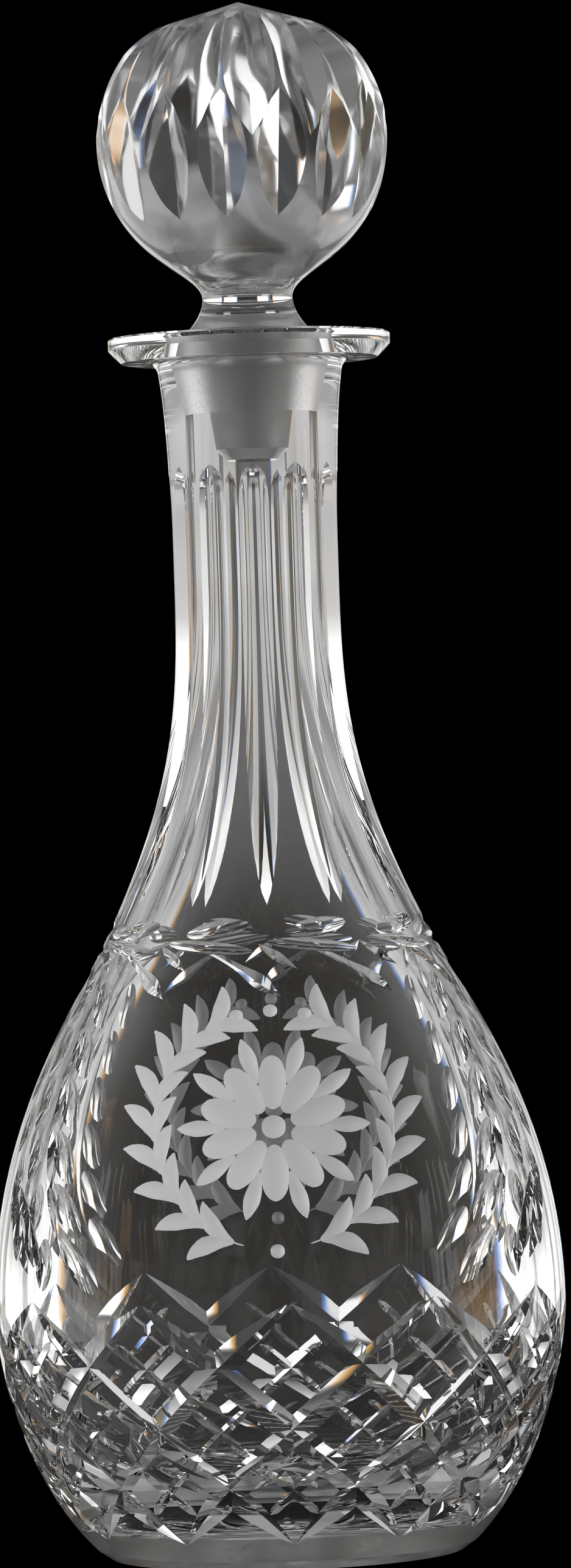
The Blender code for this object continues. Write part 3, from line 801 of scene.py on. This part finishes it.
def cut_ball(work):
    """Long cuts from the crown down, and shorter ones between them round the belly of the ball."""

    def travel(polar):
        return work.surface.travel(ball_point(polar)[1])

    wheel = EdgeWheel(BALL_CUT_FLARE * UPPER_CUT_DEPTH, UPPER_CUT_DEPTH)
    turn = math.radians(BALL_TURN)
    top = travel(math.asin(UPPER_CUT_START / BALL_RADIUS))
    bottom = travel(math.acos(UPPER_CUT_BOTTOM / BALL_RADIUS))
    for azimuth in turns(BALL_CUTS, turn):
        start, end = (top, azimuth), (bottom, azimuth)
        work.straight(start, end, UPPER_CUT_SHARES, UPPER_CUT_DEPTH, wheel, BALL_CUT_STEPS)
    top = travel(math.acos(LOWER_CUT_TOP / BALL_RADIUS))
    bottom = travel(math.acos(LOWER_CUT_BOTTOM / BALL_RADIUS))
    for azimuth in turns(BALL_CUTS, turn + math.pi / BALL_CUTS):
        start, end = (top, azimuth), (bottom, azimuth)
        work.straight(start, end, LOWER_CUT_SHARES, LOWER_CUT_DEPTH, wheel, BALL_CUT_STEPS)


def engrave(work, centre, frost):
    """A rosette in a wreath of two leafy sprigs, laid flat on a panel and then wrapped round it."""
    surface = work.surface
    middle = surface.travel(PANEL_HEIGHT)

    def stroke(points, half_width, depth=FROST_DEPTH, shares=LEAF_SHARES):
        travels = middle + points[:, 1]
        azimuths = centre + points[:, 0] / surface.radius(travels)
        alongs = np.linspace(0, 1, len(points))
        work.cut(travels, azimuths, depth * eased(shares, alongs), RoundWheel(half_width, depth), frost)

    def leaf(start, end, half_width, bend=0.0, steps=PETAL_STEPS, shares=LEAF_SHARES):
        alongs = np.linspace(0, 1, steps + 1)[:, None]
        run = np.subtract(end, start)
        bow = 4 * bend * alongs * (1 - alongs) * np.array((-run[1], run[0]))
        stroke(start + alongs * run + bow, half_width, shares=shares)

    def polar(radius, degrees):
        angle = math.radians(degrees)
        return np.array((radius * math.cos(angle), radius * math.sin(angle)))

    def ray(ring, degrees, half_width, shares):
        leaf(polar(ring[0], degrees), polar(ring[1], degrees), half_width, shares=shares)

    def dot(place, radius):
        reach = np.array((0, radius))
        leaf(place - reach, place + reach, radius, steps=DOT_STEPS)

    dot(np.zeros(2), EYE_RADIUS)
    for index in range(PETALS):
        degrees = 90 + 360 * index / PETALS
        ray(PETAL_RING, degrees, PETAL_HALF_WIDTH, LEAF_SHARES)
        ray(SEPAL_RING, degrees + 180 / PETALS, SEPAL_HALF_WIDTH, POINTED_SHARES)
    for degrees in BERRY_ANGLES:
        dot(polar(BERRY_RING, degrees), BERRY_RADIUS)

    span = WREATH_END - WREATH_START
    angles = np.linspace(WREATH_START, WREATH_END, WREATH_STEPS + 1)
    arc = np.array([polar(WREATH_RADIUS, degrees) for degrees in angles])
    for hand in (-1, 1):
        mirror = np.array((hand, 1))
        stroke(arc * mirror, SPRIG_HALF_WIDTH, SPRIG_DEPTH)
        for index in range(SPRIG_LEAVES):
            degrees = WREATH_START + span * (index + SPRIG_START_SHARE) / SPRIG_LEAVES
            start = polar(WREATH_RADIUS, degrees)
            for lean in (-SPRIG_LEAF_LEAN, SPRIG_LEAF_LEAN):
                end = start + polar(SPRIG_LEAF_LENGTH, degrees + 90 + lean)
                bend = math.copysign(SPRIG_LEAF_BEND_SHARE, -hand * lean)
                leaf(start * mirror, end * mirror, SPRIG_LEAF_HALF_WIDTH, bend, shares=POINTED_SHARES)


def make_vessel(clear, ground, frost, wear_and_painted_shade):
    """The hollow body with its cuts, turned from the middle of its floor round to its underside."""
    underside = MOUTH_HEIGHT - FLANGE_EDGE - FLANGE_BEVEL
    socket_foot = (BORE_RADIUS, MOUTH_HEIGHT - SOCKET_DEPTH)
    socket_top = (MOUTH_RADIUS, MOUTH_HEIGHT - MOUTH_BEVEL)
    mouth = (MOUTH_RADIUS + MOUTH_BEVEL, MOUTH_HEIGHT)
    top_edge = (FLANGE_RADIUS - FLANGE_CORNER, MOUTH_HEIGHT)
    side_top = (FLANGE_RADIUS, MOUTH_HEIGHT - FLANGE_CORNER)
    side_foot = (FLANGE_RADIUS, MOUTH_HEIGHT - FLANGE_EDGE)
    bevel_foot = (FLANGE_RADIUS - FLANGE_BEVEL, underside)
    fillet_start = (NECK_TOP_RADIUS + FLANGE_FILLET, underside)
    neck_top = (NECK_TOP_RADIUS, NECK_TOP_HEIGHT)
    pull = FLANGE_FILLET * FILLET_SHARE
    fillet = curve(fillet_start, (-pull, 0), neck_top, (0, -pull), FILLET_STEPS)
    outside = joined(fillet, vessel_wall(CURVE_STEPS)[::-1])
    foot_edge = (FOOT_RADIUS, FOOT_EDGE_HEIGHT)
    foot_flat = (FOOT_FLAT_RADIUS, 0)
    dish = [(RECESS_RADIUS * share, RECESS_DEPTH * (1 - share ** 2))
            for share in np.linspace(0, 1, DISH_STEPS + 1)]
    runs = [
        (vessel_inside(), clear),
        (np.linspace(socket_foot, socket_top, SOCKET_STEPS + 1), ground),
        ([socket_top, mouth], clear),
        (np.linspace(mouth, top_edge, LIP_STEPS + 1), clear),
        ([top_edge, side_top], clear),
        ([side_top, side_foot], clear),
        ([side_foot, bevel_foot], clear),
        ([bevel_foot, fillet_start], clear),
        # The foot band below that height takes glass that is rough from wear and tinted dark as painted
        # shade
        (outside, [wear_and_painted_shade if height < WEAR_AND_PAINTED_SHADE_HEIGHT else clear for height in outside[1:, 1]]),
        ([foot_edge, foot_flat], wear_and_painted_shade),
        ([foot_flat, (RECESS_RADIUS, 0)], clear),
        (dish[::-1], clear),
    ]
    vessel = turned("vessel_cut_glass", runs, [clear, ground, frost, wear_and_painted_shade])
    work = Wheelwork("vessel_cutters", Outline(vessel_wall(VESSEL_SURFACE_STEPS)), clear)
    cut_flutes(work)
    cut_shoulder(work)
    for centre in (0, math.pi):
        engrave(work, centre, frost)
        for side in (-1, 1):
            cut_garland(work, centre, side)
    cut_lattice(work)
    cut_star(work, dish)
    work.carve(vessel)
    return vessel


def make_stopper(handled, ground, clear):
    """The solid ball with its stem, collar and plug, turned from the crown down."""
    crown = math.asin(CROWN_RADIUS / BALL_RADIUS)
    handover = math.pi - math.asin((STEM_RADIUS + COLLAR_RADIUS) / 2 / BALL_RADIUS * STEM_FLARE_SHARE)
    ball = np.array([ball_point(polar) for polar in np.linspace(crown, handover, BALL_STEPS + 1)])
    ball_lean = 1 / math.tan(math.pi - handover)
    point = (0, STOPPER_BASE + BALL_RISE + CROWN_RISE)
    waist = (STEM_RADIUS, STOPPER_BASE + STEM_RISE)
    collar = (COLLAR_RADIUS, STOPPER_BASE + COLLAR_EDGE)
    collar_foot = (COLLAR_RADIUS, STOPPER_BASE)
    stem = joined(
        leaning_curve(ball[-1], ball_lean, waist, 0, BALL_STEM_SHARES, CURVE_STEPS // 2),
        leaning_curve(waist, 0, collar, COLLAR_LEAN, STEM_COLLAR_SHARES, CURVE_STEPS // 2),
    )
    taper = (MOUTH_RADIUS - BORE_RADIUS) / SOCKET_DEPTH
    plug_top = (MOUTH_RADIUS - CLEARANCE, STOPPER_BASE)
    plug_radius = plug_top[0] - taper * (PLUG_LENGTH - PLUG_BEVEL)
    bevel_top = (plug_radius, STOPPER_BASE - PLUG_LENGTH + PLUG_BEVEL)
    tip = (plug_radius - PLUG_BEVEL, STOPPER_BASE - PLUG_LENGTH)
    runs = [
        (np.linspace(point, ball[0], CROWN_STEPS + 1), handled),
        (ball, handled),
        (stem, clear),
        ([collar, collar_foot], clear),
        ([collar_foot, plug_top], clear),
        (np.linspace(plug_top, bevel_top, PLUG_STEPS + 1), ground),
        ([bevel_top, tip], clear),
        (np.linspace(tip, (0, tip[1]), TIP_STEPS + 1), clear),
    ]
    stopper = turned("stopper_cut_glass", runs, [handled, ground, clear])
    polars = np.linspace(math.pi, 0, BALL_SURFACE_STEPS + 1)
    work = Wheelwork("stopper_cutters", Outline([ball_point(polar) for polar in polars]), handled)
    cut_ball(work)
    work.carve(stopper)
    return stopper


def calculated(tree, operation, *values):
    """A Math node on numbers or sockets, as its output socket."""
    node = tree.nodes.new("ShaderNodeMath")
    node.operation = operation
    for socket, value in zip(node.inputs, values):
        if isinstance(value, bpy.types.NodeSocket):
            tree.links.new(value, socket)
        else:
            socket.default_value = value
    return node.outputs[0]


def ramp(tree, factor, stops):
    """A colour ramp through stops of (place, colour with alpha)."""
    node = tree.nodes.new("ShaderNodeValToRGB")
    elements = node.color_ramp.elements
    elements.remove(elements[1])
    elements[0].position = stops[0][0]
    elements[0].color = stops[0][1]
    for place, colour in stops[1:]:
        elements.new(place).color = colour
    tree.links.new(factor, node.inputs["Fac"])
    return node


def greys(stops):
    """Stops of (place, value) as greys for a ramp."""
    return [(place, (value, value, value, 1)) for place, value in stops]


def noise(tree, place, scale, detail):
    """A noise texture at a place, as its output socket."""
    node = tree.nodes.new("ShaderNodeTexNoise")
    node.inputs["Scale"].default_value = scale
    node.inputs["Detail"].default_value = detail
    tree.links.new(place, node.inputs["Vector"])
    return node.outputs["Fac"]


def glass_material(name, tints, roughnesses, grain_scale, grain_height, transmission=1.0):
    """Glass whose tint drifts slowly, with a roughness and a height that follow a finer grain."""
    material = bpy.data.materials.new(name)
    material.use_nodes = True
    tree = material.node_tree
    shader = tree.nodes["Principled BSDF"]
    shader.inputs["IOR"].default_value = GLASS_IOR
    shader.inputs["Transmission Weight"].default_value = transmission
    place = tree.nodes.new("ShaderNodeTexCoord").outputs["Object"]
    drift = noise(tree, place, DRIFT_SCALE, DRIFT_DETAIL)
    tint = ramp(tree, drift, [(stop, colour + (1,)) for stop, colour in zip(DRIFT_STOPS, tints)])
    tree.links.new(tint.outputs["Color"], shader.inputs["Base Color"])
    grain = noise(tree, place, grain_scale, GRAIN_DETAIL)
    wear = ramp(tree, grain, greys(zip(GRAIN_STOPS, roughnesses)))
    tree.links.new(wear.outputs["Color"], shader.inputs["Roughness"])
    bump = tree.nodes.new("ShaderNodeBump")
    bump.inputs["Strength"].default_value = 1
    bump.inputs["Distance"].default_value = grain_height
    tree.links.new(grain, bump.inputs["Height"])
    tree.links.new(bump.outputs["Normal"], shader.inputs["Normal"])
    return material


def make_floor():
    """A pale round floor, dark to the camera and dim through the glass, as the backdrop is."""
    shape = Shape()
    azimuths = np.array(turns(FLOOR_SIDES))
    shape.add_points(around(FLOOR_RADIUS, azimuths, -FLOOR_DROP))
    shape.add_face(list(range(FLOOR_SIDES)), [(0, 0, 1)] * FLOOR_SIDES)
    material = bpy.data.materials.new("pale_floor")
    material.use_nodes = True
    tree = material.node_tree
    shader = tree.nodes["Principled BSDF"]
    shader.inputs["Base Color"].default_value = (FLOOR_GREY, FLOOR_GREY, FLOOR_GREY, 1)
    shader.inputs["Roughness"].default_value = FLOOR_ROUGHNESS
    path = tree.nodes.new("ShaderNodeLightPath").outputs
    through = calculated(tree, "MAXIMUM", path["Is Transmission Ray"], path["Is Glossy Ray"])
    dimmed = calculated(tree, "MULTIPLY", through, FLOOR_DARK_SHARE)
    seen = calculated(tree, "MAXIMUM", path["Is Camera Ray"], dimmed)
    dark = tree.nodes.new("ShaderNodeEmission")
    dark.inputs["Strength"].default_value = 0
    mix = tree.nodes.new("ShaderNodeMixShader")
    tree.links.new(seen, mix.inputs[0])
    tree.links.new(shader.outputs[0], mix.inputs[1])
    tree.links.new(dark.outputs[0], mix.inputs[2])
    tree.links.new(mix.outputs[0], tree.nodes["Material Output"].inputs["Surface"])
    floor = shape.object("floor", bpy.context.scene.collection, [material])


def make_lamp():
    """A soft lamp for the frosted glass and the floor, which clear glass doesn't show."""
    light = bpy.data.lights.new("front_softbox", "AREA")
    light.shape = "RECTANGLE"
    light.size = light.size_y = LAMP_SIZE
    light.energy = LAMP_POWER
    lamp = bpy.data.objects.new("front_softbox", light)
    lamp.location = LAMP_PLACE
    beam = Vector(LAMP_TARGET) - Vector(LAMP_PLACE)
    lamp.rotation_euler = beam.to_track_quat("-Z", "Y").to_euler()
    lamp.visible_glossy = False
    lamp.visible_transmission = False
    bpy.context.scene.collection.objects.link(lamp)


def make_world():
    """A dim uneven studio with soft white boxes, black where the camera sees it directly."""
    world = bpy.data.worlds.new("studio")
    bpy.context.scene.world = world
    world.use_nodes = True
    tree = world.node_tree
    split = tree.nodes.new("ShaderNodeSeparateXYZ")
    direction = tree.nodes.new("ShaderNodeTexCoord").outputs["Generated"]
    tree.links.new(direction, split.inputs[0])

    def along(axis, stops):
        """A ramp by one part of the direction, from -1 to 1."""
        factor = calculated(tree, "MULTIPLY_ADD", split.outputs[axis], 0.5, 0.5)
        return ramp(tree, factor, [(place * 0.5 + 0.5, colour) for place, colour in stops])

    def level(axis, stops):
        return along(axis, greys(stops)).outputs["Color"]

    def backdrop(stops):
        colours = [(place, tuple(value * part for part in tint) + (1,)) for place, value, tint in stops]
        return along("Z", colours).outputs["Color"]

    def mixed(cover, below, above):
        mix = tree.nodes.new("ShaderNodeMix")
        mix.data_type = "RGBA"
        tree.links.new(cover, mix.inputs["Factor"])
        under, over = [socket for socket in mix.inputs if socket.type == "RGBA"]
        tree.links.new(below, under)
        tree.links.new(above, over)
        return [socket for socket in mix.outputs if socket.type == "RGBA"][0]

    seen = mixed(level("Y", REAR_SHARES), backdrop(BACKDROP), backdrop(REAR_BACKDROP))
    uneven = ramp(tree, noise(tree, direction, PATCH_SCALE, PATCH_DETAIL), greys(PATCH_LEVELS))
    patched = tree.nodes.new("ShaderNodeVectorMath")
    patched.operation = "MULTIPLY"
    tree.links.new(seen, patched.inputs[0])
    tree.links.new(uneven.outputs["Color"], patched.inputs[1])
    seen = patched.outputs[0]
    depth = level("Y", SOFTBOX_SHARES)
    for boxes, heights in SOFTBOXES:
        box = along("X", [(place, colour + (cover,)) for place, colour, cover in boxes])
        cover = calculated(tree, "MULTIPLY", box.outputs["Alpha"], level("Z", heights))
        cover = calculated(tree, "MULTIPLY", cover, depth)
        seen = mixed(cover, seen, box.outputs["Color"])
    background = tree.nodes["Background"]
    tree.links.new(seen, background.inputs["Color"])
    path = tree.nodes.new("ShaderNodeLightPath").outputs
    unseen = calculated(tree, "SUBTRACT", 1, path["Is Camera Ray"])
    tree.links.new(unseen, background.inputs["Strength"])


def make_camera():
    """A level camera, rolled as the photograph is."""
    data = bpy.data.cameras.new("camera")
    data.sensor_fit = "VERTICAL"
    data.sensor_height = SENSOR_HEIGHT
    data.lens = FOCAL_PIXELS / IMAGE_HEIGHT * SENSOR_HEIGHT
    data.clip_start = CAMERA_CLIP_START
    camera = bpy.data.objects.new("camera", data)
    level = Matrix.Rotation(math.radians(90), 4, "X")
    roll = Matrix.Rotation(math.radians(CAMERA_ROLL), 4, "Z")
    camera.matrix_world = Matrix.Translation(CAMERA_PLACE) @ level @ roll
    bpy.context.scene.collection.objects.link(camera)
    bpy.context.scene.camera = camera


clear_glass = glass_material(
    "clear_glass", tints=((0.965, 0.972, 0.965), (0.985, 0.985, 0.985)),
    roughnesses=(0.0, 0.02), grain_scale=90, grain_height=0.00001)
handled_glass = glass_material(
    "handled_glass", tints=((0.91, 0.912, 0.91), (0.935, 0.935, 0.935)),
    roughnesses=(0.08, 0.13), grain_scale=90, grain_height=0.00001)
ground_glass = glass_material(
    "ground_glass", tints=((0.66, 0.66, 0.66), (0.74, 0.74, 0.74)),
    roughnesses=(0.42, 0.56), grain_scale=2500, grain_height=0.00002)
frosted_glass = glass_material(
    "frosted_glass", tints=((0.86, 0.86, 0.86), (0.94, 0.94, 0.94)),
    roughnesses=(0.55, 0.70), grain_scale=3000, grain_height=0.00002, transmission=0.45)
# Foot band: roughness from wear, and a dark tint that is painted shade
wear_and_painted_shade_glass = glass_material(
    "wear_and_painted_shade_glass", tints=((0.36, 0.36, 0.345), (0.44, 0.44, 0.42)),
    roughnesses=(0.16, 0.26), grain_scale=600, grain_height=0.00001)

vessel = make_vessel(clear_glass, ground_glass, frosted_glass, wear_and_painted_shade_glass)
stopper = make_stopper(handled_glass, ground_glass, clear_glass)
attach(vessel, "vessel")
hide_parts("vessel")
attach(stopper, "stopper")
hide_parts("stopper")

make_floor()
make_lamp()
make_world()
make_camera()

scene = bpy.context.scene
scene.view_settings.view_transform = "Standard"
scene.cycles.max_bounces = BOUNCES
scene.cycles.transmission_bounces = BOUNCES
scene.cycles.glossy_bounces = GLOSSY_BOUNCES
